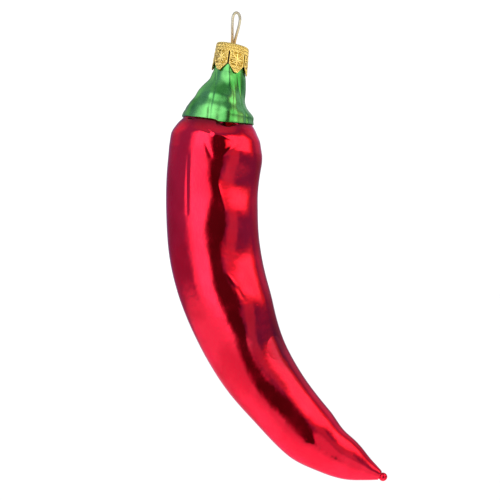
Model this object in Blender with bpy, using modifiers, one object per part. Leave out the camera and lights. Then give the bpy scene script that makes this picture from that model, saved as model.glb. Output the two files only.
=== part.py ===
"""Hanging glass ornament in the shape of a chilli pepper.

It is three pieces: a blown glass shell with an open neck, a stamped crown cap over the neck, and
the spring wire that hangs it. The wire's legs pass through the cap and spread inside the neck,
which is what holds the cap on. The origin is the inside top of the wire's loop, +Z is up, the
pod's tip curls towards +X and the front faces -Y. Every piece is made about the neck's axis, with
z falling from the loop to the tip, and an empty leans them all as the ornament hangs.
"""

import math

import bmesh
import bpy
from mathutils import Matrix, Vector

MM = 0.001

# How the ornament hangs
LEAN = math.radians(7.5)                # the neck's axis from upright, its top towards +X
CLEARANCE = 0.3 * MM                    # between pieces that touch in the real ornament

# Glass shell, with lengths measured along its spine from the rim of the neck
NECK_LENGTH = 7.6 * MM
CALYX_LENGTH = 15.1 * MM
POD_LENGTH = 127.1 * MM
NECK_RADIUS = 4.4 * MM                  # outside, at the rim
NECK_FLARE = 0.3 * MM                   # wider than that at the foot of the neck
CALYX_RADIUS = 10.7 * MM                # outside, at the hem
HEM_STEP = 0.5 * MM                     # how far the hem stands out from the pod
POD_RADIUS = 14.2 * MM                  # outside, across the widest part
POD_FLATNESS = 0.93                     # depth over width
BEAD_RADIUS = 1.3 * MM                  # drop of glass that seals the tip
WALL = 0.8 * MM
SOLID_TIP = 4.5 * MM                    # from the end of the pod to the hollow

# The shell's shape, as (share of the length, value) stations
CALYX_BEND = [(0, 0), (0.3, -9), (1, 0)]                    # degrees from the neck's axis
POD_BEND = [(0, 0), (0.15, 5), (0.27, 11.5), (0.36, 20.5), (0.46, 28), (0.56, 34.5),
            (0.66, 44), (0.76, 49.5), (0.86, 62), (0.93, 73), (1, 73)]
CALYX_GIRTH = [(0, 0), (0.25, 0.18), (0.6, 0.48), (0.85, 0.98), (1, 1)]
SHOULDER_GIRTH = [(0, 0), (0.25, 0.5), (0.6, 0.92), (1, 1)]
SHOULDER_LENGTH = 9.0 * MM              # from the hem to the widest part
POD_GIRTH = [(0.07, 1), (0.25, 0.965), (0.38, 0.95), (0.5, 0.87), (0.6, 0.79), (0.7, 0.70),
             (0.8, 0.65), (0.87, 0.50), (0.93, 0.37), (0.97, 0.22), (1, 0.09)]

# Crown cap
CAP_SHEET = 0.25 * MM
CAP_HEIGHT = 8.5 * MM                   # top to the petals' points
CAP_FLARE = 0.15 * MM                   # extra room round the glass at the petals' points
CAP_SHOULDER = 0.9 * MM                 # bend radius between the top and the petals
PETALS = 6
PETAL_TURN = math.radians(-7)           # the first slit, from straight ahead
SLIT_WIDTH = 0.45 * MM
SLIT_START = 2.3 * MM                   # below the cap's top
POINT_HEIGHT = 2.3 * MM                 # of the petals' pointed ends
POINT_WIDTH = 1.1 * MM                  # of their blunt tips

# Hanger wire
WIRE_DIAMETER = 0.85 * MM
WIRE_TURN = math.radians(55)            # the loop's plane from face on
LOOP_DROP = 9.4 * MM                    # inside top of the loop to the cap's top
LOOP_WIDTH = 3.7 * MM                   # between the wire's centre lines
LEG_SPACING = 1.1 * MM                  # the same, where the legs pass through the cap
LEG_PAST_NECK = 2.4 * MM                # how far the legs reach below the neck
HOOK_RADIUS = 0.6 * MM                  # of the out-turned ends
HOOK_ANGLE = math.radians(100)

# Mesh fineness
SHELL_SIDES = 32
CAP_SIDES = 48
MERGE = 0.00001

RIM_DROP = LOOP_DROP + CAP_SHEET + CLEARANCE
HEM_AT = NECK_LENGTH + CALYX_LENGTH
TIP_AT = HEM_AT + POD_LENGTH


def smooth(stations, at):
    """Read a smooth curve through the stations, which never swings past them."""
    places = [place for place, value in stations]
    values = [value for place, value in stations]
    at = min(max(at, places[0]), places[-1])
    span = max(i for i in range(len(places) - 1) if places[i] <= at)
    rises = [(values[i + 1] - values[i]) / (places[i + 1] - places[i])
             for i in range(len(places) - 1)]

    def slope(i):
        if i in (0, len(rises)):
            return rises[min(i, len(rises) - 1)]
        before, after = rises[i - 1], rises[i]
        return 2 * before * after / (before + after) if before * after > 0 else 0.0

    width = places[span + 1] - places[span]
    t = (at - places[span]) / width
    return ((1 + 2 * t) * (1 - t) ** 2 * values[span] + t * (1 - t) ** 2 * width * slope(span)
            + t * t * (3 - 2 * t) * values[span + 1] + t * t * (t - 1) * width * slope(span + 1))


def neck_radius(s):
    """Outside of the neck, a distance s below the rim."""
    return NECK_RADIUS + NECK_FLARE * min(s / NECK_LENGTH, 1)


def girth(s):
    """Outside radius of the glass at a distance s along the spine, without the hem's edge."""
    pod_start = CALYX_RADIUS - HEM_STEP
    if s < NECK_LENGTH:
        return neck_radius(s)
    if s < HEM_AT:
        foot = neck_radius(NECK_LENGTH)
        share = smooth(CALYX_GIRTH, (s - NECK_LENGTH) / CALYX_LENGTH)
        return foot + (pod_start - foot) * share
    if s < HEM_AT + SHOULDER_LENGTH:
        share = smooth(SHOULDER_GIRTH, (s - HEM_AT) / SHOULDER_LENGTH)
        return pod_start + (POD_RADIUS - pod_start) * share
    return POD_RADIUS * smooth(POD_GIRTH, (s - HEM_AT) / POD_LENGTH)


def bend(s):
    """Direction of the spine at s, in radians from the neck's axis towards +X."""
    if s < HEM_AT:
        return math.radians(smooth(CALYX_BEND, (s - NECK_LENGTH) / CALYX_LENGTH))
    return math.radians(smooth(POD_BEND, (s - HEM_AT) / POD_LENGTH))


def flatness(s):
    """Depth over width, which eases from round at the neck to the pod's own flatness."""
    share = smooth([(0, 0), (1, 1)], (s - NECK_LENGTH) / CALYX_LENGTH)
    return 1 + (POD_FLATNESS - 1) * share * share * (3 - 2 * share)


def steps(start, end, count):
    """Evenly spaced values from start up to, but not including, end."""
    return [start + (end - start) * i / count for i in range(count)]


def shell_profile():
    """The wall's outline as (radius, distance down the spine), before it is bent."""
    def bore(s):
        rise = (girth(s + MM / 2) - girth(s - MM / 2)) / MM
        return girth(s) - WALL * math.hypot(1, rise)

    hollow_end = TIP_AT - SOLID_TIP
    round_start = hollow_end - bore(hollow_end)
    end_radius = bore(round_start)
    inside = [(end_radius * math.sin(a), round_start + (hollow_end - round_start) * math.cos(a))
              for a in steps(0, math.pi / 2, 4)]
    down = (steps(WALL / 2, NECK_LENGTH, 3) + steps(NECK_LENGTH, HEM_AT, 8)
            + steps(HEM_AT, HEM_AT + SHOULDER_LENGTH, 6))
    inside += [(bore(s), s) for s in reversed(
        down + steps(HEM_AT + SHOULDER_LENGTH, round_start, 24) + [round_start])]

    rim_centre = NECK_RADIUS - WALL / 2
    rim = [(rim_centre - WALL / 2 * math.cos(a), WALL / 2 * (1 - math.sin(a)))
           for a in steps(0, math.pi, 4)[1:]]

    calyx = [(girth(s) + HEM_STEP * smooth([(0, 0), (1, 1)], (s - NECK_LENGTH) / CALYX_LENGTH), s)
             for s in down if s < HEM_AT]
    hem = [(CALYX_RADIUS, HEM_AT - HEM_STEP), (CALYX_RADIUS - HEM_STEP / 3, HEM_AT)]
    pod = [(girth(s), s) for s in steps(HEM_AT + HEM_STEP, HEM_AT + SHOULDER_LENGTH, 6)
           + steps(HEM_AT + SHOULDER_LENGTH, TIP_AT, 30)]
    bead_centre = TIP_AT + BEAD_RADIUS / 2
    bead = [(BEAD_RADIUS * math.sin(a), bead_centre - BEAD_RADIUS * math.cos(a))
            for a in steps(math.radians(50), math.pi, 4)] + [(0, bead_centre + BEAD_RADIUS)]
    return inside + rim + calyx + hem + pod + bead


def cap_profile():
    """Outside of the cap's sheet as (radius, distance below its top), from hole to points."""
    hole = LEG_SPACING / 2 + WIRE_DIAMETER / 2 + CLEARANCE
    around_neck = CLEARANCE + CAP_SHEET
    top_radius = neck_radius(0) + around_neck
    point_depth = CAP_HEIGHT - CAP_SHEET - CLEARANCE
    point_radius = girth(point_depth) + around_neck + CAP_FLARE
    bend_centre = top_radius - CAP_SHOULDER
    shoulder = [(bend_centre + CAP_SHOULDER * math.sin(a), CAP_SHOULDER * (1 - math.cos(a)))
                for a in steps(0, math.pi / 2, 4)]
    skirt = [(top_radius + (point_radius - top_radius) * share,
              CAP_SHOULDER + (CAP_HEIGHT - CAP_SHOULDER) * share)
             for share in steps(0, 1, 5) + [1]]
    return [(hole, 0)] + shoulder + skirt


def material(name, colour, metallic, roughness):
    """Make a plain Principled material."""
    made = bpy.data.materials.new(name)
    made.use_nodes = True
    shader = made.node_tree.nodes["Principled BSDF"]
    shader.inputs["Base Color"].default_value = (*colour, 1)
    shader.inputs["Metallic"].default_value = metallic
    shader.inputs["Roughness"].default_value = roughness
    made.diffuse_color = (*colour, 1)
    return made


def turned(name, profile, sides, collection):
    """Turn a (radius, depth) profile about the Z axis with a Screw modifier."""
    mesh = bpy.data.meshes.new(name)
    mesh.from_pydata([(radius, 0, -depth) for radius, depth in profile],
                     [(i, i + 1) for i in range(len(profile) - 1)], [])
    piece = bpy.data.objects.new(name, mesh)
    collection.objects.link(piece)
    screw = piece.modifiers.new("Turn", "SCREW")
    screw.steps = screw.render_steps = sides
    screw.use_merge_vertices = True
    screw.merge_threshold = MERGE
    screw.use_smooth_shade = True
    return piece


def solid_mesh(piece):
    """The piece's mesh with its modifiers or bevel worked out and its seams welded."""
    bpy.context.view_layer.update()
    seen = piece.evaluated_get(bpy.context.evaluated_depsgraph_get())
    mesh = bpy.data.meshes.new_from_object(seen)
    bm = bmesh.new()
    bm.from_mesh(mesh)
    bmesh.ops.remove_doubles(bm, verts=bm.verts, dist=MERGE)
    bm.to_mesh(mesh)
    bm.free()
    return mesh


def bend_along_spine(mesh):
    """Carry a straight turned shell over to its curved spine and flatten its pod."""
    reach = TIP_AT + 3 * BEAD_RADIUS
    spine = [Vector((0, 0, -RIM_DROP))]
    while len(spine) * MM < reach:
        middle = bend((len(spine) - 0.5) * MM)
        spine.append(spine[-1] + MM * Vector((math.sin(middle), 0, -math.cos(middle))))
    for vertex in mesh.vertices:
        s = -vertex.co.z
        index = min(max(int(s / MM), 0), len(spine) - 2)
        centre = spine[index].lerp(spine[index + 1], s / MM - index)
        across = Vector((math.cos(bend(s)), 0, math.sin(bend(s))))
        vertex.co = centre + across * vertex.co.x + Vector((0, vertex.co.y * flatness(s), 0))


def glass_shell(collection, neck):
    """Blown glass, lacquered green over the calyx and red over the pod."""
    piece = turned("glass_chilli", shell_profile(), SHELL_SIDES, collection)
    mesh = solid_mesh(piece)
    piece.modifiers.clear()
    mesh.materials.append(material("red_lacquer_on_silvered_glass", (0.55, 0.01, 0.03), 0.9, 0.12))
    mesh.materials.append(material("green_lacquer_on_silvered_glass", (0.06, 0.3, 0.08), 0.8, 0.25))
    for face in mesh.polygons:
        face.material_index = int(-face.center.z < HEM_AT)
    bend_along_spine(mesh)
    piece.data = mesh
    piece.parent = neck


def slit_cutter(cutters, neck, number, point_radius):
    """A plate through the skirt: a slit above, opening to the notch between two points."""
    half_petal = math.pi / PETALS
    half_notch = point_radius * math.sin(half_petal) - POINT_WIDTH / 2 * math.cos(half_petal)
    half_slit = SLIT_WIDTH / 2
    notch_top = CAP_HEIGHT - POINT_HEIGHT
    below = CAP_HEIGHT + POINT_HEIGHT
    right = [(half_slit, -SLIT_START), (half_slit, -notch_top), (half_notch, -CAP_HEIGHT),
             (half_notch, -below)]
    outline = right + [(-x, y) for x, y in reversed(right)]

    curve = bpy.data.curves.new(f"slit_{number}", "CURVE")
    curve.dimensions = "2D"
    curve.fill_mode = "BOTH"
    curve.extrude = point_radius / 2
    spline = curve.splines.new("POLY")
    spline.points.add(len(outline) - 1)
    for point, (x, y) in zip(spline.points, outline):
        point.co = (x, y, 0, 1)
    spline.use_cyclic_u = True
    flat = bpy.data.objects.new(f"slit_{number}", curve)
    cutters.objects.link(flat)

    cutter = bpy.data.objects.new(f"cutter_slit_{number}", solid_mesh(flat))
    bpy.data.objects.remove(flat)
    cutters.objects.link(cutter)
    cutter.parent = neck
    around = PETAL_TURN + 2 * math.pi * number / PETALS
    cutter.matrix_local = (Matrix.Translation((0, 0, -LOOP_DROP)) @ Matrix.Rotation(around, 4, "Z")
                           @ Matrix.Translation((0, -point_radius, 0))
                           @ Matrix.Rotation(math.pi / 2, 4, "X"))
    cutter.hide_render = True
    cutter.display_type = "WIRE"


def crown_cap(collection, cutters, neck):
    """Stamped sheet with a hole in its top and a skirt slit into pointed petals."""
    profile = cap_profile()
    piece = turned("cap", profile, CAP_SIDES, collection)
    piece.parent = neck
    piece.location.z = -LOOP_DROP
    piece.data.materials.append(material("gold_brass", (0.8, 0.58, 0.22), 1.0, 0.3))
    for number in range(PETALS):
        slit_cutter(cutters, neck, number, profile[-1][0])

    sheet = piece.modifiers.new("Sheet", "SOLIDIFY")
    sheet.thickness = CAP_SHEET
    sheet.offset = -1
    slits = piece.modifiers.new("Slits", "BOOLEAN")
    slits.operation = "DIFFERENCE"
    slits.solver = "EXACT"
    slits.operand_type = "COLLECTION"
    slits.collection = cutters


def wire_route():
    """One half of the wire's centre line as (half width, depth), from its end to the loop's top."""
    radius = WIRE_DIAMETER / 2
    half_loop = LOOP_WIDTH / 2
    half_leg = LEG_SPACING / 2
    grip = NECK_RADIUS - WALL - CLEARANCE - radius
    roof = LOOP_DROP + CAP_SHEET
    foot = RIM_DROP + NECK_LENGTH + LEG_PAST_NECK

    def eased(start, end, share):
        return start + (end - start) * (1 - math.cos(math.pi * share)) / 2

    hook = [(grip + HOOK_RADIUS * (1 - math.cos(a)), foot + HOOK_RADIUS * math.sin(a))
            for a in reversed(steps(0, HOOK_ANGLE, 5)[1:] + [HOOK_ANGLE])]
    leg = [(eased(grip, half_leg, share), foot + (roof - foot) * share) for share in steps(0, 1, 9)]
    arc_centre = half_loop - radius
    taper = [(eased(half_leg, half_loop, share), roof + (arc_centre - roof) * share)
             for share in steps(0, 1, 9)]
    arc = [(half_loop * math.cos(a), arc_centre - half_loop * math.sin(a))
           for a in steps(0, math.pi / 2, 5)]
    return hook + leg + taper + arc


def hanger_wire(collection, neck):
    """Spring wire bent into a loop, with two legs that spread inside the neck."""
    half = wire_route()
    top = [(0, -WIRE_DIAMETER / 2)]
    route = half + top + [(-across, depth) for across, depth in reversed(half)]
    curve = bpy.data.curves.new("hanger_wire", "CURVE")
    curve.dimensions = "3D"
    curve.bevel_depth = WIRE_DIAMETER / 2
    curve.bevel_resolution = 2
    curve.use_fill_caps = True
    spline = curve.splines.new("POLY")
    spline.points.add(len(route) - 1)
    for point, (across, depth) in zip(spline.points, route):
        point.co = (across, 0, -depth, 1)
    curve.materials.append(material("spring_wire", (0.62, 0.57, 0.45), 1.0, 0.3))
    piece = bpy.data.objects.new("hanger_wire", curve)
    collection.objects.link(piece)
    piece.parent = neck
    piece.rotation_euler.z = WIRE_TURN


def main():
    for old in list(bpy.data.objects):
        bpy.data.objects.remove(old, do_unlink=True)
    scene = bpy.context.scene
    ornament = bpy.data.collections.new("chilli_ornament")
    cutters = bpy.data.collections.new("cutters")
    scene.collection.children.link(ornament)
    scene.collection.children.link(cutters)

    neck = bpy.data.objects.new("neck_axis", None)
    neck.rotation_euler.y = LEAN
    neck.empty_display_size = LOOP_DROP
    ornament.objects.link(neck)
    glass_shell(ornament, neck)
    crown_cap(ornament, cutters, neck)
    hanger_wire(ornament, neck)
    bpy.context.view_layer.update()


main()
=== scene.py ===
"""Finished surfaces of a hanging glass chilli ornament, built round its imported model.

The blown glass, the stamped cap and the spring wire are each modelled again at full fineness in
the place of their plain solids. The neck's axis leans by the same angle as the solids, z falls
from the inside top of the wire's loop, and the pod's tip curls towards +X.
"""

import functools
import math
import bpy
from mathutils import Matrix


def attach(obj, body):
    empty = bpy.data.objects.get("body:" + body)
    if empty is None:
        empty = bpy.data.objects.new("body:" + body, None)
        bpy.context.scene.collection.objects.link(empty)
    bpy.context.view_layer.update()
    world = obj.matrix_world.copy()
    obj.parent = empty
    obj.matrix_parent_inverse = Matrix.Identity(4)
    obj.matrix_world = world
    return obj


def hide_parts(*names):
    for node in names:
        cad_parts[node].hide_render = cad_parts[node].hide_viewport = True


bl_info = {
    "name": "Glass Chilli Ornament",
    "version": (1, 0, 0),
    "blender": (4, 5, 0),
    "location": "3D View > Sidebar > Chilli",
    "description": "Builds a blown glass chilli ornament with its cap, wire and studio",
    "category": "Add Mesh",
}

import bmesh
import bpy
from bpy.props import FloatProperty, FloatVectorProperty, IntProperty, PointerProperty
from mathutils import Matrix, Vector

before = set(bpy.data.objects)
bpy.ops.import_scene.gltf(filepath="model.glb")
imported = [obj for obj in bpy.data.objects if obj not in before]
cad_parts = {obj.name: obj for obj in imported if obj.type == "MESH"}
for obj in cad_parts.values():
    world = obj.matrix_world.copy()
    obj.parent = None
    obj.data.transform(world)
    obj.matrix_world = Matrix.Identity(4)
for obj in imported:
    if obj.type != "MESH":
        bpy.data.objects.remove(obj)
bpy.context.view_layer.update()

MM = 0.001
MERGE = 0.001 * MM                          # vertices nearer than this are one

# The shell's shape, as (share of the length, value) stations
CALYX_BEND = [(0, 0), (0.3, -9), (1, 0)]                    # degrees from the neck's axis
POD_BEND = [(0, 0), (0.15, 5), (0.27, 11.5), (0.36, 20.5), (0.46, 28), (0.56, 34.5),
            (0.66, 44), (0.76, 49.5), (0.86, 62), (0.93, 73), (1, 73)]
CALYX_GIRTH = [(0, 0), (0.25, 0.18), (0.6, 0.48), (0.85, 0.98), (1, 1)]
SHOULDER_GIRTH = [(0, 0), (0.25, 0.5), (0.6, 0.92), (1, 1)]
POD_GIRTH = [(0.07, 1), (0.25, 0.965), (0.38, 0.95), (0.5, 0.87), (0.6, 0.79), (0.7, 0.70),
             (0.8, 0.65), (0.87, 0.50), (0.93, 0.37), (0.97, 0.22), (1, 0.09)]

# Where the blown glass is fuller (+) or flatter (-) than its smooth outline, calyx first, in
# millimetres and degrees: below the hem, turn from the front, length, width (degrees), height
BULGES = [
    (-6.9, -8, 3.9, 88, 1.3), (-2.2, -8, 2.4, 80, -0.4), (-7.1, -90, 3, 50, 0.35),
    (-11.5, -85, 2.6, 60, -0.45), (-2.7, -90, 2.2, 50, -0.35), (-0.6, -90, 1.6, 50, 0.3),
    (-1.5, 80, 3.2, 50, -0.6), (-7.5, 85, 3.4, 56, -0.55),
    # the pod's right side
    (4, 88, 6, 56, -0.6), (11, 88, 4.5, 50, 0.25), (21, 88, 7, 50, -0.2), (10, 34, 6, 32, 0.26),
    (19, 36, 6, 34, -0.42), (28.5, 36, 7, 36, 0.46), (42, 38, 9, 40, -0.5), (57, 36, 9, 36, 0.44),
    (58, 70, 10, 46, 0.5), (73, 36, 10, 40, -0.45), (74, 62, 12, 44, -0.8),
    (100, 34, 14, 40, 0.36), (114, 45, 8, 60, 0.4), (115, 75, 6, 60, 0.4), (122, 70, 5, 70, -0.35),
    # its front
    (22, 6, 5, 12, 0.24), (33, 7, 8, 28, -0.42), (50, 13, 9, 28, -0.42), (66, 12, 4.5, 24, 0.28),
    (84, 4, 14, 42, -0.55),
    # its left side
    (12, -30, 8, 24, 0.2), (26, -26, 9, 18, -0.16), (38, -62, 9, 30, 0.26),
    (52, -66, 10, 34, -0.22), (9, -88, 9, 50, -0.35),
    # its back
    (12, 130, 8, 40, 0.3), (26, 140, 9, 44, -0.34), (42, 120, 10, 46, 0.34),
    (62, 135, 12, 46, -0.3), (86, 140, 14, 50, 0.28), (16, -130, 9, 40, -0.3),
    (34, -140, 10, 44, 0.34), (54, -125, 12, 46, -0.32), (78, -135, 14, 46, 0.3),
    (20, 180, 8, 30, 0.24), (48, 178, 10, 34, -0.3), (70, 185, 11, 34, 0.26),
]

BULGE_SPREAD = 0.7                          # of a bulge's length and width, where it falls to 1/e

# Painted shade: patches where the red is darkened to stand for darker reflections, in
# millimetres below the hem, degrees round from the front, length, width in degrees, strength
PAINTED_SHADE_PATCHES = [
    (76, 56, 14, 34, 0.8), (72, 64, 10, 26, 0.95), (62, 70, 16, 30, 0.5), (67, 27, 9, 22, 0.55),
    (36, 60, 9, 44, 0.35), (14.5, 62, 6, 44, 0.35), (50, 88, 16, 24, 0.5), (10, -80, 16, 34, 0.4),
    (34, -82, 16, 26, 0.3), (60, 150, 20, 40, 0.3), (30, -150, 18, 40, 0.3),
]

# Thin marks where the hot glass was pinched or the mould's halves met:
# from (millimetres below the hem, degrees round) to the same, width in millimetres, height
PINCHES = [
    (4.6, 1, 6.4, 25, 0.45, 0.12), (7.2, 27, 11.6, 8, 0.5, 0.14), (4.4, 2, 11.4, 8, 0.7, -0.12),
    (3.2, -14, 5.0, -5, 0.6, -0.16), (12, -31, 28, -31, 0.5, -0.12), (11, -26, 27, -26, 0.9, 0.1),
    (20, 9, 27, 17, 0.4, 0.14), (7, -12, 11.5, -3, 0.6, -0.12), (47, 13, 51, 20, 0.45, 0.09),
    (51, 20, 56, 24, 0.5, -0.07), (14, -22, 20, -14, 0.7, 0.08), (15, 150, 24, 166, 0.5, 0.16),
    (24, 166, 30, 150, 0.5, -0.16), (9, -160, 15, -148, 0.5, 0.18),
]

# Folds pressed into the calyx and the rounded ridges left beside them: degrees round at the
# neck, halfway and at the hem, then height as a share of the radius and half width in degrees
FOLDS = [
    (2, 20, 20, 0.1, 14), (-95, -62, -50, 0.04, 16), (82, 92, 98, 0.05, 16),
    (135, 140, 150, 0.07, 15), (-160, -150, -145, 0.07, 15), (-125, -115, -105, 0.05, 15),
    (-58, -21, -14, -0.022, 4), (6, 25, 26, -0.02, 3.5), (31, 50, 57, -0.025, 4.5),
    (72, 82, 88, -0.02, 4), (110, 120, 128, -0.025, 5), (160, 166, 172, -0.025, 5),
    (-176, -172, -168, -0.02, 4), (-142, -132, -126, -0.025, 5), (-110, -92, -82, -0.022, 4),
]

# How far the hem hangs below its flat ring: degrees round, millimetres
HEM_DROP = [(-180, 0.3), (-140, 0.6), (-90, 0), (-50, 0.25), (-12, 0.4), (-4, 0.5), (3, 0.95),
            (30, 0.6), (60, 0), (90, -0.4), (135, 0.4), (180, 0.3)]
HEM_HOLD = 3 * MM                           # how soon that dies away above and below the hem

# The cap's stamped pattern in millimetres: a flower on each petal and rings in rows round it
FLOWER_AT = 4.4                             # below the middle of the cap's bend
FLOWER_REACH = 2.0
FLOWER_ARMS = 8
RING_RADIUS = 0.36
RING_STEP = 1.1                             # along a row
RING_ROW = 0.95                             # from one row to the next
TOP_SHARE = 0.08                            # of a petal's rows of faces, on the cap's flat top
SLIT_OPENING = 0.6 * MM                     # over which a slit widens from nothing

MIX_SHARE, MIX_FROM, MIX_TO, MIX_RESULT = 0, 6, 7, 2        # sockets of a Mix node for colours

TENT_GAP = (0.3, 0.3, 0.34)                 # the light where no cloth hangs

# What the light tent shows the glass, each painted over those before it: name, turn from the
# front, angle above level, half width, half height and softness in degrees, colour, strength
TENT = [
    ("left_wall", -100, 0, 62, 90, 14, "#AEA8DC", 0.82),
    ("right_wall", 62, 0, 60, 90, 14, "#A79FD8", 0.68),
    ("roof", 0, 84, 180, 22, 8, "#FFFFFF", 0.52),
    ("table_far", 0, -90, 180, 81, 4, "#F0D8F0", 0.6),
    ("table_near", 0, -90, 180, 76, 4, "#FFF6FA", 1.02),
    ("table_under", 0, -90, 180, 44, 14, "#FFF2F8", 1.45),
    ("left_wall_foot", -108, -13, 46, 7, 5, "#C0A8D8", 0.75),
    ("right_card", 42, -2, 14, 9, 6, "#FFE8F0", 0.7),
    ("left_softbox_spill", -36, 16, 18.5, 35, 12, "#FFEFF6", 2.0),
    ("left_softbox", -25, 16, 20, 35, 4.5, "#FFEFF6", 2.3),
    ("right_lamp_warmth", 62, 27, 44, 22, 7, "#FFB48C", 1.1),
    ("right_softbox", 60, 26, 34, 17, 6, "#FFF2E6", 2.2),
    ("back_left_softbox", -128, 34, 24, 18, 13, "#FFF6F0", 0.8),
    ("back_right_softbox", 145, 30, 28, 22, 12, "#F0E4FF", 0.85),
    ("lens_gap_fringe", 3, -4, 15, 34, 7, "#D08090", 0.4),
    ("lens_gap", 8, -4, 12.5, 33, 2.5, "#FFB0B8", 0.09),
]


def linear(hex_colour):
    """Turn an sRGB hex colour into linear light."""
    parts = [int(hex_colour[i:i + 2], 16) / 255 for i in (1, 3, 5)]
    return tuple(p / 12.92 if p <= 0.04045 else ((p + 0.055) / 1.055) ** 2.4 for p in parts)


def length(name, description, millimetres):
    """A size in the sidebar, given here in millimetres."""
    return FloatProperty(name=name, description=description, default=millimetres * MM, min=0,
                         precision=5, unit="LENGTH")


def turn(name, description, degrees):
    """An angle in the sidebar, given here in degrees."""
    return FloatProperty(name=name, description=description, default=math.radians(degrees),
                         subtype="ANGLE")


def colour(name, description, hex_colour):
    """A colour in the sidebar, given here as sRGB hex."""
    return FloatVectorProperty(name=name, description=description, subtype="COLOR", min=0, max=1,
                               default=linear(hex_colour))


class ShellSizes(bpy.types.PropertyGroup):
    lean: turn("Lean", "The neck's axis from upright, its top towards +X", 7.5)
    rim_drop: length("Rim drop", "Inside top of the loop to the neck's rim", 9.95)
    neck_length: length("Neck length", "Rim to the foot of the neck", 7.6)
    calyx_length: length("Calyx length", "Foot of the neck to the hem", 15.1)
    pod_length: length("Pod length", "Hem to the sealed tip, along the spine", 127.1)
    neck_radius: length("Neck radius", "Outside of the neck at its rim", 4.4)
    neck_flare: length("Neck flare", "Extra radius at the foot of the neck", 0.3)
    calyx_radius: length("Calyx radius", "Outside of the calyx at its hem", 10.7)
    hem_step: length("Hem step", "How far the hem stands out from the pod", 0.5)
    shoulder_length: length("Shoulder length", "Hem to the widest part", 9)
    pod_radius: length("Pod radius", "Outside of the pod across its widest part", 14.2)
    pod_flatness: FloatProperty(name="Pod flatness", description="Depth over width", default=0.93)
    bead_radius: length("Bead radius", "Drop of glass that seals the tip", 1.3)
    wall: length("Wall", "Thickness of the glass", 0.8)
    solid_tip: length("Solid tip", "End of the pod to the hollow", 4.5)
    # set low enough that the dark bare neck also shows below the cap's slits and notches as painted
    # shadow
    lacquer_edge: length("Lacquer edge", "Rim to where the neck's green lacquer begins", 5.8)
    sides: IntProperty(name="Sides", description="Faces round the shell", default=204)
    crowding: FloatProperty(name="Crowding", description="How much the faces crowd to the front",
                            default=0.3)


class CapSizes(bpy.types.PropertyGroup):
    drop: length("Cap drop", "Inside top of the loop to the cap's top", 9.4)
    sheet: length("Sheet", "Thickness of the stamped sheet", 0.25)
    height: length("Height", "Cap's top to the petals' points", 8.5)
    hole_radius: length("Hole radius", "Hole for the wire's legs", 1.275)
    top_radius: length("Top radius", "Outside of the cap at its top", 4.95)
    point_radius: length("Point radius", "Outside of the cap at the petals' points", 5.4)
    shoulder: length("Shoulder", "Bend radius between the top and the petals", 0.9)
    petals: IntProperty(name="Petals", description="Pointed tabs of the skirt", default=6)
    petal_turn: turn("Petal turn", "The first slit, from straight ahead", -7)
    slit_width: length("Slit width", "Gap between two petals", 0.45)
    slit_start: length("Slit start", "Cap's top to where the slits begin", 2.3)
    point_height: length("Point height", "Height of the petals' pointed ends", 2.3)
    point_width: length("Point width", "Width of their blunt tips", 1.1)
    emboss: length("Emboss", "Height of the stamped pattern", 0.19)
    skew: turn("Skew", "How far the cap's rings tip from square", 4)


class WireSizes(bpy.types.PropertyGroup):
    diameter: length("Diameter", "Thickness of the spring wire", 0.85)
    loop_width: length("Loop width", "Between the wire's centre lines", 3.7)
    leg_spacing: length("Leg spacing", "Between the centre lines at the cap", 1.1)
    leg_foot: length("Leg foot", "Inside top of the loop to the legs' ends", 19.95)
    grip: length("Grip", "Half the legs' spread at their ends", 2.95)
    hook_radius: length("Hook radius", "Bend radius of the out-turned ends", 0.6)
    hook_angle: turn("Hook angle", "How far those ends are bent round", 100)
    loop_turn: turn("Loop turn", "The loop's plane from face on", 55)


class Finishes(bpy.types.PropertyGroup):
    red: colour("Red lacquer", "Silvered glass seen through the red lacquer", "#F11E3E")
    red_pool: colour("Red pooled", "Where the red lacquer ran thicker", "#DC0E30")
    # painted shade: the darkened red under the green hem and in patches that stand for darker
    # reflections
    red_painted_shade: colour("Red plum", "Under the green lacquer's lap and where it pooled", "#780E2C")
    green: colour("Green lacquer", "Silvered glass seen through the green lacquer", "#66C068")
    green_pool: colour("Green pooled", "Green lacquer in the folds", "#38903F")
    # painted shadow: the bare silvered neck darkened as if in the cap's shade
    neck: colour("Bare neck", "Silvering seen through bare glass", "#2B2823")
    gold: colour("Gold sheet", "Raised parts of the cap", "#FFF08E")
    # darker where the stamping lies low
    gold_in_recesses: colour("Gold recess", "Toned lacquer in the cap's recesses", "#AE9436")
    wire: colour("Wire", "Grey gold of the spring wire's loop", "#CBD0B0")
    wire_foot: colour("Wire foot", "Yellower gold of the wire near the cap", "#BFA45E")


class StudioSizes(bpy.types.PropertyGroup):
    camera_distance: length("Camera distance", "Lens to the ornament's own plane", 417)
    camera_across: length("Camera across", "Lens to the right of the loop", 3.9)
    camera_height: length("Camera height", "Lens below the loop's inside top", 70.8)
    focal_length: FloatProperty(name="Focal length", description="Of the lens, in millimetres",
                                default=100, unit="CAMERA")
    floor_drop: length("Floor drop", "Loop to the studio floor", 260)
    floor_radius: length("Floor radius", "Size of the round floor", 6000)
    tent_radius: length("Tent radius", "Lit cloth all round the ornament", 500)
    room_light: FloatProperty(name="Room light", description="Strength of the white room",
                              default=1.12)


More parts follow.
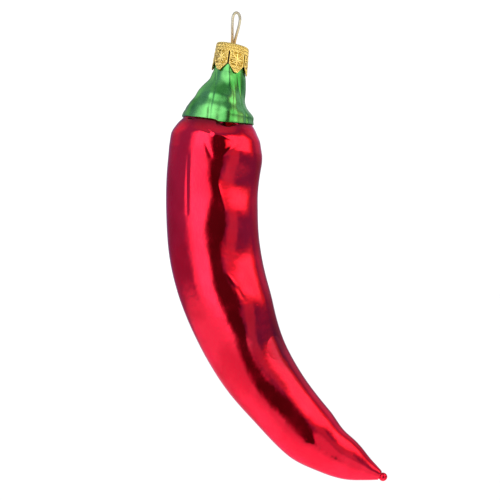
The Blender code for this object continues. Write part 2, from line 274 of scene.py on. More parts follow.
def smooth(stations, at):
    """Read a smooth curve through the stations, which never swings past them."""
    places = [place for place, value in stations]
    values = [value for place, value in stations]
    at = min(max(at, places[0]), places[-1])
    span = max(i for i in range(len(places) - 1) if places[i] <= at)
    rises = [(values[i + 1] - values[i]) / (places[i + 1] - places[i])
             for i in range(len(places) - 1)]

    def slope(i):
        if i in (0, len(rises)):
            return rises[min(i, len(rises) - 1)]
        before, after = rises[i - 1], rises[i]
        return 2 * before * after / (before + after) if before * after > 0 else 0.0

    width = places[span + 1] - places[span]
    t = (at - places[span]) / width
    return ((1 + 2 * t) * (1 - t) ** 2 * values[span] + t * (1 - t) ** 2 * width * slope(span)
            + t * t * (3 - 2 * t) * values[span + 1] + t * t * (t - 1) * width * slope(span + 1))


def steps(start, end, count):
    """Evenly spaced values from start up to, but not including, end."""
    return [start + (end - start) * i / count for i in range(count)]


def hump(distance, width):
    """A smooth bump of height 1 that has died away by about twice its width."""
    return math.exp(-(distance / width) ** 2)


def turn_between(one, other):
    """The angle from the other turn to this one, the short way round."""
    return math.remainder(one - other, 2 * math.pi)


def held(share):
    """Keep a share between 0 and 1."""
    return min(max(share, 0), 1)


def eased(start, end, share):
    """Go from start to end with a gentle start and finish."""
    return start + (end - start) * (1 - math.cos(math.pi * held(share))) / 2


class Shell:
    """The blown shell's outline and its curved spine, worked out from the sizes."""

    def __init__(self, sizes):
        self.sizes = sizes
        self.hem_at = sizes.neck_length + sizes.calyx_length
        self.tip_at = self.hem_at + sizes.pod_length
        self.spine = [Vector((0, 0, -sizes.rim_drop))]
        while len(self.spine) * MM < self.tip_at + 3 * sizes.bead_radius:
            middle = self.bend((len(self.spine) - 0.5) * MM)
            step = MM * Vector((math.sin(middle), 0, -math.cos(middle)))
            self.spine.append(self.spine[-1] + step)

    @functools.lru_cache(maxsize=None)
    def girth(self, s):
        """Outside radius at a distance s along the spine, without the hem's edge."""
        z = self.sizes
        pod_start = z.calyx_radius - z.hem_step
        if s < z.neck_length:
            return z.neck_radius + z.neck_flare * s / z.neck_length
        if s < self.hem_at:
            foot = z.neck_radius + z.neck_flare
            return foot + (pod_start - foot) * smooth(CALYX_GIRTH, self.calyx_share(s))
        if s < self.hem_at + z.shoulder_length:
            share = smooth(SHOULDER_GIRTH, (s - self.hem_at) / z.shoulder_length)
            return pod_start + (z.pod_radius - pod_start) * share
        return z.pod_radius * smooth(POD_GIRTH, (s - self.hem_at) / z.pod_length)

    def calyx_share(self, s):
        """How far s is from the foot of the neck, at 0, to the hem, at 1."""
        return held((s - self.sizes.neck_length) / self.sizes.calyx_length)

    @functools.lru_cache(maxsize=None)
    def bend(self, s):
        """Direction of the spine at s, in radians from the neck's axis towards +X."""
        if s < self.hem_at:
            return math.radians(smooth(CALYX_BEND, self.calyx_share(s)))
        return math.radians(smooth(POD_BEND, (s - self.hem_at) / self.sizes.pod_length))

    @functools.lru_cache(maxsize=None)
    def bore(self, s):
        """Inside radius at s."""
        rise = (self.girth(s + MM / 2) - self.girth(s - MM / 2)) / MM
        return self.girth(s) - self.sizes.wall * math.hypot(1, rise)

    def profile(self):
        """The wall's outline as (radius, distance down the spine), before it is bent."""
        z = self.sizes
        shoulder_at = self.hem_at + z.shoulder_length
        fine_end = shoulder_at + 22 * MM
        tip_start = self.tip_at - 8 * MM
        hollow_end = self.tip_at - z.solid_tip
        round_start = hollow_end - self.bore(hollow_end)
        inside = [(self.bore(round_start) * math.sin(a),
                   round_start + (hollow_end - round_start) * math.cos(a))
                  for a in steps(0, math.pi / 2, 6)]
        inside += [(self.bore(s), s) for s in reversed(
            steps(z.wall / 2, self.hem_at, 10) + steps(self.hem_at, round_start, 26)
            + [round_start])]
        rim = [(z.neck_radius - z.wall / 2 * (1 + math.cos(a)), z.wall / 2 * (1 - math.sin(a)))
               for a in steps(0, math.pi, 8)[1:]]
        calyx = [(self.girth(s) + z.hem_step * self.calyx_share(s), s)
                 for s in steps(z.wall / 2, z.lacquer_edge, 6)
                 + steps(z.lacquer_edge, self.hem_at - z.hem_step, 54)]
        edge = z.hem_step / 2
        hem = [(z.calyx_radius - edge * (1 - math.cos(a)), self.hem_at - edge * (1 - math.sin(a)))
               for a in steps(0, math.pi / 2, 4)]
        hem += [(z.calyx_radius - z.hem_step * share, self.hem_at) for share in (0.6, 0.85)]
        pod = [(self.girth(s), s) for s in
               steps(self.hem_at + z.hem_step * 0.3, shoulder_at, 32)
               + steps(shoulder_at, fine_end, 70) + steps(fine_end, tip_start, 170)
               + steps(tip_start, self.tip_at, 18)]
        bead_centre = self.tip_at + z.bead_radius / 2
        bead_start = math.radians(48)
        bead = [(z.bead_radius * math.sin(a), bead_centre - z.bead_radius * math.cos(a))
                for a in steps(bead_start, math.pi, 12)]
        return inside + rim + calyx + hem + pod + bead + [(0, bead_centre + z.bead_radius)]

    def relief(self, s, around):
        """How far the outside stands proud of its smooth outline."""
        on_calyx = s < self.hem_at + self.sizes.hem_step / 2
        below = (s - self.hem_at) / MM
        rise = 0.0
        for at, turn_to, long, wide, height in BULGES:
            if (at < 0) == on_calyx and abs(below - at) < 2 * long:
                across = turn_between(around, math.radians(turn_to))
                rise += (height * hump(below - at, long * BULGE_SPREAD)
                         * hump(across, math.radians(wide) * BULGE_SPREAD))
        if on_calyx:
            return self.folds(s, around, rise)
        girth = self.girth(s) / MM
        for from_s, from_turn, to_s, to_turn, wide, height in PINCHES:
            if from_s - 2 * wide < below < to_s + 2 * wide:
                share = held((below - from_s) / (to_s - from_s))
                turn_to = math.radians(from_turn + (to_turn - from_turn) * share)
                slant = math.atan2(math.radians(to_turn - from_turn) * girth, to_s - from_s)
                across = turn_between(around, turn_to) * girth * math.cos(slant)
                past = max(from_s - below, below - to_s, 0)
                taper = math.sin(math.pi * min(max(share, 0.1), 0.9)) ** 0.5
                rise += height * taper * hump(math.hypot(across, past), wide)
        return rise * MM

    def painted_shade(self, s, around):
        """How much painted shade darkens the red, 0 to 1: under the green hem and in patches."""
        below = (s - self.hem_at) / MM
        # painted shade under the green hem, reaching furthest down round the left front
        deepest_hem_shade = math.radians(-50)
        hem_shade_reach = 1.3 + 1.6 * hump(turn_between(around, deepest_hem_shade), 1)
        share = 0.9 * hump(below, hem_shade_reach)
        for at, turn_to, long, wide, strength in PAINTED_SHADE_PATCHES:
            across = turn_between(around, math.radians(turn_to))
            share = max(share, strength * hump(below - at, long) * hump(across, math.radians(wide)))
        return share

    def folds(self, s, around, rise):
        """Add the calyx's pressed folds to its rise, and leave the neck under the cap plain."""
        z = self.sizes
        share = self.calyx_share(s)
        for at_neck, halfway, at_hem, height, half_width in FOLDS:
            turn_to = math.radians(smooth([(0, at_neck), (0.5, halfway), (1, at_hem)], share))
            across = turn_between(around, turn_to)
            rise += height * self.girth(s) / MM * hump(across, math.radians(half_width))
        plain_end = 0.9 * z.lacquer_edge
        fold_share = held((s - plain_end) / (z.neck_length / 2))
        sunk = 0.1                          # between the folds, in millimetres
        return (rise - sunk) * MM * fold_share

    def carry(self, point):
        """Take a point of the straight shell to its place on the curved spine."""
        z = self.sizes
        s = -point.z
        index = min(max(int(s / MM), 0), len(self.spine) - 2)
        centre = self.spine[index].lerp(self.spine[index + 1], s / MM - index)
        across = Vector((math.cos(self.bend(s)), 0, math.sin(self.bend(s))))
        share = self.calyx_share(s)
        flat = 1 + (z.pod_flatness - 1) * share * share * (3 - 2 * share)
        return centre + across * point.x + Vector((0, point.y * flat, 0))


def finished(name, bm, materials, solid, sharp_degrees=40):
    """Make the bmesh a smooth shaded piece that stands for its solid and rides with it."""
    mesh = bpy.data.meshes.new(name)
    for face in bm.faces:
        face.smooth = True
    bm.to_mesh(mesh)
    bm.free()
    for made in materials:
        mesh.materials.append(made)
    mesh.set_sharp_from_angle(angle=math.radians(sharp_degrees))
    piece = bpy.data.objects.new(name, mesh)
    bpy.context.scene.collection.objects.link(piece)
    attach(piece, "root")
    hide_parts(solid)
    return piece


def lean_matrix(sizes):
    """The leaning axis that every piece is made about."""
    return Matrix.Rotation(sizes.lean, 4, "Y")


def turned(bm, profile, sides):
    """Spin a (radius, depth) profile once round the Z axis."""
    points = [bm.verts.new((radius, 0, -depth)) for radius, depth in profile]
    edges = [bm.edges.new(pair) for pair in zip(points, points[1:])]
    bmesh.ops.spin(bm, geom=points + edges, cent=(0, 0, 0), axis=(0, 0, 1),
                   angle=2 * math.pi, steps=sides, use_merge=True)
    bmesh.ops.remove_doubles(bm, verts=bm.verts, dist=MERGE)
    bmesh.ops.recalc_face_normals(bm, faces=bm.faces)


def apart(millimetres):
    """A pattern's scale, from how far apart its marks lie on the real surface."""
    return 1 / (millimetres * MM)


def node(tree, kind, values=None, links=None, stops=(), **settings):
    """Add a shader node with its settings, socket values, links into it and two ramp colours."""
    made = tree.nodes.new(kind)
    for key, value in settings.items():
        setattr(made, key, value)
    for key, value in (values or {}).items():
        made.inputs[key].default_value = value
    for key, socket in (links or {}).items():
        tree.links.new(socket, made.inputs[key])
    for element, (place, shade) in zip(made.color_ramp.elements if stops else (), stops):
        element.position = place
        element.color = (*shade, 1)
    return made


def new_material(name, **settings):
    """Start a Principled material with fixed values on its own sockets."""
    made = bpy.data.materials.new(name)
    made.use_nodes = True
    shader = made.node_tree.nodes["Principled BSDF"]
    for key, value in settings.items():
        shader.inputs[key.replace("_", " ")].default_value = value
    return made, made.node_tree, shader


def into_shader(tree, shader, **sockets):
    """Link sockets into the shader's own, each given by its name there."""
    for key, socket in sockets.items():
        tree.links.new(socket, shader.inputs[key.replace("_", " ")])


def red_lacquer(look):
    """Red lacquer dipped over mirror-silvered blown glass.

    It reflects like a coloured mirror that the uneven glass ripples, hazier and deeper where the
    lacquer ran thick, with a few trapped specks. Painted shade darkens it to a dark purple-red under
    the green hem and in patches that stand for darker reflections.
    """
    made, tree, shader = new_material(
        "red_lacquer_on_silvered_glass", Metallic=1.0, Coat_Weight=0.25, Coat_Roughness=0.04,
        Specular_Tint=(0.75, 0.35, 0.5, 1))
    place = node(tree, "ShaderNodeTexCoord").outputs["Object"]
    pooled = node(tree, "ShaderNodeTexNoise", {"Scale": apart(11.1), "Detail": 3}, {"Vector": place})
    shade = node(tree, "ShaderNodeValToRGB", links={"Fac": pooled.outputs["Fac"]},
                 stops=[(0.38, look.red_pool[:]), (0.6, look.red[:])])
    # painted shade: darkens the red under the green hem and in patches
    painted_shade = node(tree, "ShaderNodeAttribute", attribute_name="painted_shade")
    red_with_painted_shade = node(tree, "ShaderNodeMix", {MIX_TO: (*look.red_painted_shade, 1)},
                {MIX_SHARE: painted_shade.outputs["Fac"], MIX_FROM: shade.outputs["Color"]},
                data_type="RGBA")
    haze = node(tree, "ShaderNodeTexNoise", {"Scale": apart(6.67), "Detail": 4}, {"Vector": place})
    gloss = node(tree, "ShaderNodeMapRange", {"From Min": 0.35, "From Max": 0.65, "To Min": 0.05,
                                              "To Max": 0.2}, {"Value": haze.outputs["Fac"]})
    ripple = node(tree, "ShaderNodeTexNoise", {"Scale": apart(4.35), "Detail": 2}, {"Vector": place})
    rippled = node(tree, "ShaderNodeBump", {"Strength": 0.45, "Distance": 0.3 * MM},
                   {"Height": ripple.outputs["Fac"]})
    speck = node(tree, "ShaderNodeTexVoronoi", {"Scale": apart(3.03)}, {"Vector": place})
    raised = node(tree, "ShaderNodeMapRange", {"From Min": 0.05, "From Max": 0.1, "To Min": 1,
                                               "To Max": 0}, {"Value": speck.outputs["Distance"]})
    bump = node(tree, "ShaderNodeBump", {"Strength": 0.06, "Distance": 0.3 * MM},
                {"Height": raised.outputs["Result"], "Normal": rippled.outputs["Normal"]})
    into_shader(tree, shader, Base_Color=red_with_painted_shade.outputs[MIX_RESULT],
                Roughness=gloss.outputs["Result"], Normal=bump.outputs["Normal"])
    return made


def green_lacquer(look):
    """Green lacquer brushed over the silvered calyx.

    It is milkier than the red, so its mirror is softer, and it lies darker where it pooled.
    """
    made, tree, shader = new_material(
        "green_lacquer_on_silvered_glass", Metallic=1.0, Coat_Weight=0.12, Coat_Roughness=0.1,
        Specular_Tint=(0.7, 0.8, 0.7, 1))
    place = node(tree, "ShaderNodeTexCoord").outputs["Object"]
    pooled = node(tree, "ShaderNodeTexNoise", {"Scale": apart(5.88), "Detail": 3}, {"Vector": place})
    shade = node(tree, "ShaderNodeValToRGB", links={"Fac": pooled.outputs["Fac"]},
                 stops=[(0.34, look.green_pool[:]), (0.58, look.green[:])])
    haze = node(tree, "ShaderNodeTexNoise", {"Scale": apart(3.33), "Detail": 3}, {"Vector": place})
    gloss = node(tree, "ShaderNodeMapRange", {"To Min": 0.18, "To Max": 0.34},
                 {"Value": haze.outputs["Fac"]})
    bump = node(tree, "ShaderNodeBump", {"Strength": 0.15, "Distance": 0.4 * MM},
                {"Height": haze.outputs["Fac"]})
    into_shader(tree, shader, Base_Color=shade.outputs["Color"],
                Roughness=gloss.outputs["Result"], Normal=bump.outputs["Normal"])
    return made


def bare_neck_in_painted_shadow(look):
    """Unlacquered neck with thin grey silvering, painted nearly black as the cap's shadow on it."""
    made, tree, shader = new_material(
        "bare_glass_silvering_and_painted_shadow", Metallic=0.6, Base_Color=(*look.neck, 1))
    place = node(tree, "ShaderNodeTexCoord").outputs["Object"]
    stain = node(tree, "ShaderNodeTexNoise", {"Scale": apart(1.43), "Detail": 3}, {"Vector": place})
    gloss = node(tree, "ShaderNodeMapRange", {"To Min": 0.3, "To Max": 0.6},
                 {"Value": stain.outputs["Fac"]})
    bump = node(tree, "ShaderNodeBump", {"Strength": 0.1, "Distance": 0.2 * MM},
                {"Height": stain.outputs["Fac"]})
    into_shader(tree, shader, Roughness=gloss.outputs["Result"], Normal=bump.outputs["Normal"])
    return made


def gold_sheet(look):
    """Gold lacquered brass, stamped: lighter on the raised work and darker in its recesses.

    The rolled sheet's grain is finer than this in life, and is drawn coarse enough to show.
    """
    made, tree, shader = new_material("gold_lacquered_brass_sheet", Metallic=1.0)
    height = node(tree, "ShaderNodeAttribute", attribute_name="stamping").outputs["Fac"]
    # darker colour where the stamping lies low, lighter where it stands high
    shade = node(tree, "ShaderNodeValToRGB", links={"Fac": height},
                 stops=[(0.1, look.gold_in_recesses[:]), (0.55, look.gold[:])])
    place = node(tree, "ShaderNodeTexCoord").outputs["Object"]
    grain = node(tree, "ShaderNodeTexNoise", {"Scale": apart(0.667), "Detail": 3}, {"Vector": place})
    gloss = node(tree, "ShaderNodeMapRange", {"To Min": 0.28, "To Max": 0.5},
                 {"Value": grain.outputs["Fac"]})
    bump = node(tree, "ShaderNodeBump", {"Strength": 0.2, "Distance": 0.1 * MM},
                {"Height": grain.outputs["Fac"]})
    into_shader(tree, shader, Base_Color=shade.outputs["Color"],
                Roughness=gloss.outputs["Result"], Normal=bump.outputs["Normal"])
    return made


def drawn_wire(look):
    """Brassed spring wire, drawn and handled: soft, yellower near the cap and greyer up the loop."""
    made, tree, shader = new_material("drawn_brassed_spring_wire", Metallic=1.0)
    place = node(tree, "ShaderNodeTexCoord").outputs["Object"]
    height = node(tree, "ShaderNodeSeparateXYZ", links={"Vector": place}).outputs["Z"]
    # yellower low down near the cap, greyer higher up the loop
    up_the_loop = node(tree, "ShaderNodeMapRange", {"From Min": -9 * MM, "From Max": -3 * MM},
                {"Value": height})
    shade = node(tree, "ShaderNodeValToRGB", links={"Fac": up_the_loop.outputs["Result"]},
                 stops=[(0, look.wire_foot[:]), (1, look.wire[:])])
    tarnish = node(tree, "ShaderNodeTexNoise", {"Scale": apart(3.33), "Detail": 1}, {"Vector": place})
    gloss = node(tree, "ShaderNodeMapRange", {"To Min": 0.34, "To Max": 0.46},
                 {"Value": tarnish.outputs["Fac"]})
    bump = node(tree, "ShaderNodeBump", {"Strength": 0.05, "Distance": 0.05 * MM},
                {"Height": tarnish.outputs["Fac"]})
    into_shader(tree, shader, Base_Color=shade.outputs["Color"],
                Roughness=gloss.outputs["Result"], Normal=bump.outputs["Normal"])
    return made


class CHILLI_OT_glass_shell(bpy.types.Operator):
    """Blow the glass: neck, folded calyx, curved pod and the bead that seals its tip"""
    bl_idname = "chilli.glass_shell"
    bl_label = "Glass shell"

    def execute(self, context):
        sizes = context.scene.chilli_shell
        look = context.scene.chilli_finishes
        shell = Shell(sizes)
        bm = bmesh.new()
        turned(bm, shell.profile(), sizes.sides)
        # painted shade: how far the red is darkened, kept on each vertex
        painted_shade = bm.verts.layers.float.new("painted_shade")
        for face in bm.faces:
            depth = -face.calc_center_median().z
            # red below the hem, green above it, and above the lacquer edge the bare neck, darkened as
            # painted shadow
            face.material_index = (depth < shell.hem_at - MERGE) + (depth < sizes.lacquer_edge)
        for point in bm.verts:
            s, radius = -point.co.z, math.hypot(point.co.x, point.co.y)
            if radius > MERGE:
                around = math.atan2(point.co.x, -point.co.y)
                around -= sizes.crowding * math.sin(around)
                outside = held((radius - shell.girth(s) + sizes.wall) / sizes.wall)
                radius += shell.relief(s, around) * outside
                near_hem = hump(s - shell.hem_at, HEM_HOLD)
                point[painted_shade] = shell.painted_shade(s, around)
                drop = smooth(HEM_DROP, math.degrees(around)) * MM * near_hem * outside
                point.co = (radius * math.sin(around), -radius * math.cos(around), -s - drop)
            point.co = shell.carry(point.co)
        bmesh.ops.transform(bm, matrix=lean_matrix(sizes), verts=bm.verts)
        finished("glass_chilli_blown", bm,
                 [red_lacquer(look), green_lacquer(look), bare_neck_in_painted_shadow(look)],
                 "glass_chilli", 50)
        return {"FINISHED"}


def stamping(across, below):
    """Height of the cap's stamped pattern, 0 to 1, at millimetres from a petal's middle line."""
    out = math.hypot(across, below - FLOWER_AT)
    angle = math.atan2(across, below - FLOWER_AT)
    arm_turn = 2 * math.pi / FLOWER_ARMS
    rise = hump(out, 0.3)
    if out < FLOWER_REACH:
        off = math.remainder(angle, arm_turn) * out
        leaf = 0.09 + 0.12 * math.sin(math.pi * out / FLOWER_REACH)
        rise = max(rise, hump(off, leaf) * min(1, (FLOWER_REACH - out) * 4))
    between = math.remainder(angle + arm_turn / 2, arm_turn) * out
    rise = max(rise, 0.85 * hump(math.hypot(out - 1.5, between), 0.17))
    row = round(below / RING_ROW)
    shift = RING_STEP / 2 * (row % 2)
    ring_across = round((across - shift) / RING_STEP) * RING_STEP + shift
    ring_below = row * RING_ROW
    if math.hypot(ring_across, ring_below - FLOWER_AT) > FLOWER_REACH + 0.05:
        ring = math.hypot(across - ring_across, below - ring_below)
        rise = max(rise, 0.85 * hump(ring - RING_RADIUS, 0.12), 0.7 * hump(ring, 0.12))
    return rise


class PetalSheet:
    """One petal and its share of the cap's top, measured as a run over the sheet from the hole."""

    def __init__(self, sizes):
        self.sizes = sizes
        self.half_turn = math.pi / sizes.petals
        self.flat_run = sizes.top_radius - sizes.shoulder - sizes.hole_radius
        self.bend_run = sizes.shoulder * math.pi / 2
        self.skirt_run = sizes.height - sizes.shoulder
        self.slit_run = self.flat_run + self.bend_run + sizes.slit_start - sizes.shoulder
        self.full_run = self.flat_run + self.bend_run + self.skirt_run

    def section(self, run):
        """Radius and depth of the sheet at a run from the edge of its hole."""
        z = self.sizes
        if run < self.flat_run:
            return z.hole_radius + run, 0.0
        if run < self.flat_run + self.bend_run:
            a = (run - self.flat_run) / z.shoulder
            return (z.top_radius - z.shoulder * (1 - math.sin(a)),
                    z.shoulder * (1 - math.cos(a)))
        share = (run - self.flat_run - self.bend_run) / self.skirt_run
        return (z.top_radius + (z.point_radius - z.top_radius) * share,
                z.shoulder + self.skirt_run * share)

    def end(self, u):
        """The run at the petal's pointed end, u from -1 at one edge to 1 at the other."""
        z = self.sizes
        blunt = z.point_width / (2 * z.point_radius * math.sin(self.half_turn))
        return self.full_run - z.point_height * (1 - held((1 - abs(u)) / (1 - blunt)))

    def run(self, u, v):
        """The run at v, from 0 at the hole to 1 at the petal's end."""
        slit_v = TOP_SHARE + (1 - TOP_SHARE) * (self.slit_run - self.flat_run) / (
            self.full_run - self.flat_run)
        if v < TOP_SHARE:
            return v / TOP_SHARE * self.flat_run
        if v < slit_v:
            return self.flat_run + (v - TOP_SHARE) / (slit_v - TOP_SHARE) * (
                self.slit_run - self.flat_run)
        return self.slit_run + (v - slit_v) / (1 - slit_v) * (self.end(u) - self.slit_run)

    def stamped(self, u, v):
        """Place of the sheet at (u, v), and how high its stamping stands there, 0 to 1."""
        z = self.sizes
        run = self.run(u, v)
        radius, depth = self.section(run)
        slit = z.slit_width / 2 / radius * held((run - self.slit_run) / SLIT_OPENING)
        angle = u * (self.half_turn - slit)
        below_bend = (run - self.flat_run - self.bend_run / 2) / MM
        mark = stamping(angle * radius / MM, below_bend) if run > self.flat_run * 0.8 else 0.0
        if run > self.slit_run:
            edge = min((1 - abs(u)) * self.half_turn * radius, self.end(u) - run) / MM
            mark = max(mark * min(edge / 0.35, 1), 0.75 * hump(edge - 0.2, 0.12))
        stamped_share = held((run - self.flat_run * 0.7) / MM)
        lift = z.emboss * (mark - 0.5) * stamped_share
        slope = held((run - self.flat_run) / self.bend_run) * math.pi / 2
        radius += lift * math.sin(slope)
        depth -= lift * math.cos(slope)
        return Vector((radius * math.sin(angle), -radius * math.cos(angle), -depth)), mark


class CHILLI_OT_crown_cap(bpy.types.Operator):
    """Stamp the cap: a sheet with a hole and six embossed petals"""
    bl_idname = "chilli.crown_cap"
    bl_label = "Crown cap"

    def execute(self, context):
        z = context.scene.chilli_cap
        sheet = PetalSheet(z)
        bm = bmesh.new()
        height = bm.verts.layers.float.new("stamping")
        bmesh.ops.create_grid(bm, x_segments=60, y_segments=122, size=1)
        for point in bm.verts:
            point.co, point[height] = sheet.stamped(point.co.x, (point.co.y + 1) / 2)
        petal = bm.verts[:] + bm.edges[:] + bm.faces[:]
        first = Matrix.Rotation(sheet.half_turn + z.petal_turn, 3, "Z")
        bmesh.ops.rotate(bm, verts=bm.verts, matrix=first)
        for number in range(1, z.petals):
            copy = bmesh.ops.duplicate(bm, geom=petal)
            bmesh.ops.rotate(bm, matrix=Matrix.Rotation(2 * sheet.half_turn * number, 3, "Z"),
                             verts=[g for g in copy["geom"] if isinstance(g, bmesh.types.BMVert)])
        bmesh.ops.remove_doubles(bm, verts=bm.verts, dist=0.01 * MM)
        bmesh.ops.recalc_face_normals(bm, faces=bm.faces)
        if sum(face.normal.dot(face.calc_center_median()) for face in bm.faces) < 0:
            bmesh.ops.reverse_faces(bm, faces=bm.faces)
        bmesh.ops.solidify(bm, geom=bm.faces[:], thickness=z.sheet)
        skewed = Matrix.Identity(4)
        skewed[2][0] = -math.tan(z.skew)
        place = (lean_matrix(context.scene.chilli_shell) @ Matrix.Translation((0, 0, -z.drop))
                 @ skewed)
        bmesh.ops.transform(bm, matrix=place, verts=bm.verts)
        finished("crown_cap_stamped", bm, [gold_sheet(context.scene.chilli_finishes)],
                 "cap", 45)
        return {"FINISHED"}


class CHILLI_OT_hanger_wire(bpy.types.Operator):
    """Bend the spring wire: loop, legs through the cap and hooked ends in the neck"""
    bl_idname = "chilli.hanger_wire"
    bl_label = "Hanger wire"

    def execute(self, context):
        z = context.scene.chilli_wire
        cap = context.scene.chilli_cap
        radius, half_loop, half_leg = z.diameter / 2, z.loop_width / 2, z.leg_spacing / 2
        roof = cap.drop + cap.sheet
        hook = [(z.grip + z.hook_radius * (1 - math.cos(a)),
                 z.leg_foot + z.hook_radius * math.sin(a))
                for a in reversed(steps(0, z.hook_angle, 8)[1:])]
        leg = [(eased(z.grip, half_leg, t), z.leg_foot + (roof - z.leg_foot) * t)
               for t in steps(0, 1, 24)]
        arc_centre = half_loop - radius
        taper = [(eased(half_leg, half_loop, t), roof + (arc_centre - roof) * t)
                 for t in steps(0, 1, 30)]
        arc = [(half_loop * math.cos(a), arc_centre - half_loop * math.sin(a))
               for a in steps(0, math.pi / 2, 14)]
        half = hook + leg + taper + arc
        route = [Vector((x, 0, -depth)) for x, depth in half + [(0, -radius)]]
        route += [Vector((-x, 0, -depth)) for x, depth in reversed(half)]

        bm = bmesh.new()
        before = self.across(route[0], route[1] - route[0])
        ring = bmesh.ops.create_circle(bm, segments=18, radius=radius, cap_ends=True,
                                       matrix=before)["verts"]
        edges = list({edge for vert in ring for edge in vert.link_edges})
        for i, centre in enumerate(route[1:], 1):
            ahead = route[min(i + 1, len(route) - 1)] - route[i - 1]
            now = self.across(centre, ahead)
            made = bmesh.ops.extrude_edge_only(bm, edges=edges)["geom"]
            ring = [g for g in made if isinstance(g, bmesh.types.BMVert)]
            edges = [g for g in made if isinstance(g, bmesh.types.BMEdge)
                     and all(v in ring for v in g.verts)]
            bmesh.ops.transform(bm, matrix=now @ before.inverted(), verts=ring)
            before = now
        bmesh.ops.contextual_create(bm, geom=edges)
        bmesh.ops.recalc_face_normals(bm, faces=bm.faces)
        place = lean_matrix(context.scene.chilli_shell) @ Matrix.Rotation(z.loop_turn, 4, "Z")
        bmesh.ops.transform(bm, matrix=place, verts=bm.verts)
        finished("hanger_wire_bent", bm, [drawn_wire(context.scene.chilli_finishes)],
                 "hanger_wire")
        return {"FINISHED"}

    @staticmethod
    def across(centre, ahead):
        """A frame square to the wire, with its Y axis out of the loop's plane."""
        along = ahead.normalized()
        side = Vector((0, 1, 0)).cross(along)
        turned_frame = Matrix((side, Vector((0, 1, 0)), along)).transposed().to_4x4()
        return Matrix.Translation(centre) @ turned_frame


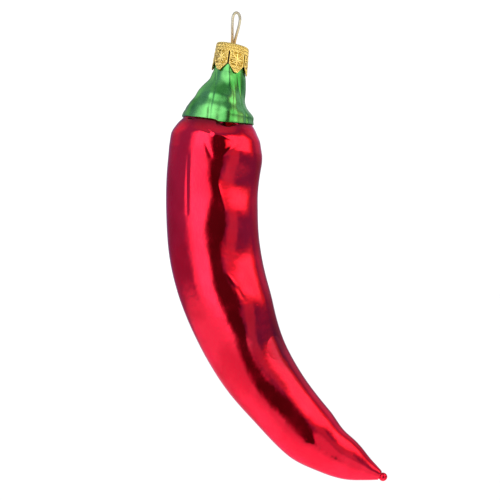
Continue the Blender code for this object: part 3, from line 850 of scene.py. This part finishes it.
class CHILLI_OT_studio(bpy.types.Operator):
    """Set up the camera, the pale floor, the white room and the light tent"""
    bl_idname = "chilli.studio"
    bl_label = "Studio"

    def execute(self, context):
        z = context.scene.chilli_studio
        camera_data = bpy.data.cameras.new("camera")
        camera_data.lens = z.focal_length
        camera = bpy.data.objects.new("camera", camera_data)
        camera.location = (z.camera_across, -z.camera_distance, -z.camera_height)
        camera.rotation_euler = (math.pi / 2, 0, 0)
        context.scene.collection.objects.link(camera)
        context.scene.camera = camera
        context.scene.view_settings.view_transform = "Standard"

        world = bpy.data.worlds.new("white_room")
        world.use_nodes = True
        world.node_tree.nodes["Background"].inputs["Strength"].default_value = z.room_light
        world.node_tree.nodes["Background"].inputs["Color"].default_value = (1, 1, 1, 1)
        context.scene.world = world
        self.floor(z)
        self.light_tent(z)
        return {"FINISHED"}

    def stand(self, name, bm, made):
        """Make the bmesh a piece of the studio and not of the ornament."""
        mesh = bpy.data.meshes.new(name)
        bm.to_mesh(mesh)
        bm.free()
        mesh.materials.append(made)
        piece = bpy.data.objects.new(name, mesh)
        bpy.context.scene.collection.objects.link(piece)
        return piece

    def floor(self, z):
        """A round pale floor below the hanging ornament."""
        bm = bmesh.new()
        bmesh.ops.create_circle(bm, cap_ends=True, segments=96, radius=z.floor_radius)
        bmesh.ops.translate(bm, verts=bm.verts, vec=(0, 0, -z.floor_drop))
        paper = new_material("pale_floor", Base_Color=(0.93, 0.93, 0.93, 1), Roughness=0.9)[0]
        self.stand("floor", bm, paper).visible_glossy = False

    def light_tent(self, z):
        """Lit cloth round the ornament, which only shows as what the glass and metal mirror."""
        bm = bmesh.new()
        bmesh.ops.create_uvsphere(bm, u_segments=240, v_segments=120, radius=z.tent_radius)
        glow = bm.verts.layers.float_color.new("glow")
        for point in bm.verts:
            above = math.degrees(math.asin(min(max(point.co.z / z.tent_radius, -1), 1)))
            point[glow] = (*self.cloth_light(math.atan2(point.co.x, -point.co.y), above), 1)
        bmesh.ops.translate(bm, verts=bm.verts, vec=(0, 0, -z.camera_height))
        made, tree, shader = new_material("lit_tent_cloth", Base_Color=(0, 0, 0, 1),
                                          Emission_Strength=1.0, Roughness=1.0)
        cloth = node(tree, "ShaderNodeAttribute", attribute_name="glow")
        into_shader(tree, shader, Emission_Color=cloth.outputs["Color"])
        made.cycles.emission_sampling = "NONE"
        tent = self.stand("light_tent", bm, made)
        tent.visible_camera = tent.visible_diffuse = tent.visible_shadow = False

    @staticmethod
    def cloth_light(around, above):
        """Colour and strength of the tent's light at a turn in radians and degrees above level."""
        light = Vector(TENT_GAP)
        for name, turn_to, centre, half_width, half_height, soft, shade, strength in TENT:
            aside = abs(math.degrees(turn_between(around, math.radians(turn_to)))) - half_width
            level = abs(above - centre) - half_height
            cover = 1.0
            for past in (aside if half_width < 180 else -soft, level):
                cover *= 1 - eased(0, 1, (past + soft) / (2 * soft))
            light = light.lerp(Vector(linear(shade)) * strength, cover)
        return light


class CHILLI_PT_sidebar(bpy.types.Panel):
    """Sizes, finishes and the making of each piece"""
    bl_label = "Glass Chilli"
    bl_idname = "CHILLI_PT_sidebar"
    bl_space_type = "VIEW_3D"
    bl_region_type = "UI"
    bl_category = "Chilli"

    def draw(self, context):
        for group in ("chilli_shell", "chilli_cap", "chilli_wire", "chilli_finishes",
                      "chilli_studio"):
            box = self.layout.box()
            sizes = getattr(context.scene, group)
            for key in sizes.bl_rna.properties.keys():
                if key not in ("rna_type", "name"):
                    box.prop(sizes, key)
        for operator in OPERATORS:
            self.layout.operator(operator.bl_idname)


GROUPS = {"chilli_shell": ShellSizes, "chilli_cap": CapSizes, "chilli_wire": WireSizes,
          "chilli_finishes": Finishes, "chilli_studio": StudioSizes}
OPERATORS = (CHILLI_OT_glass_shell, CHILLI_OT_crown_cap, CHILLI_OT_hanger_wire, CHILLI_OT_studio)


def register():
    for made in (*GROUPS.values(), *OPERATORS, CHILLI_PT_sidebar):
        bpy.utils.register_class(made)
    for name, group in GROUPS.items():
        setattr(bpy.types.Scene, name, PointerProperty(type=group))


def unregister():
    for name in GROUPS:
        delattr(bpy.types.Scene, name)
    for made in reversed((*GROUPS.values(), *OPERATORS, CHILLI_PT_sidebar)):
        bpy.utils.unregister_class(made)


def main():
    register()
    bpy.ops.chilli.glass_shell()
    bpy.ops.chilli.crown_cap()
    bpy.ops.chilli.hanger_wire()
    bpy.ops.chilli.studio()


if __name__ == "__main__":
    main()
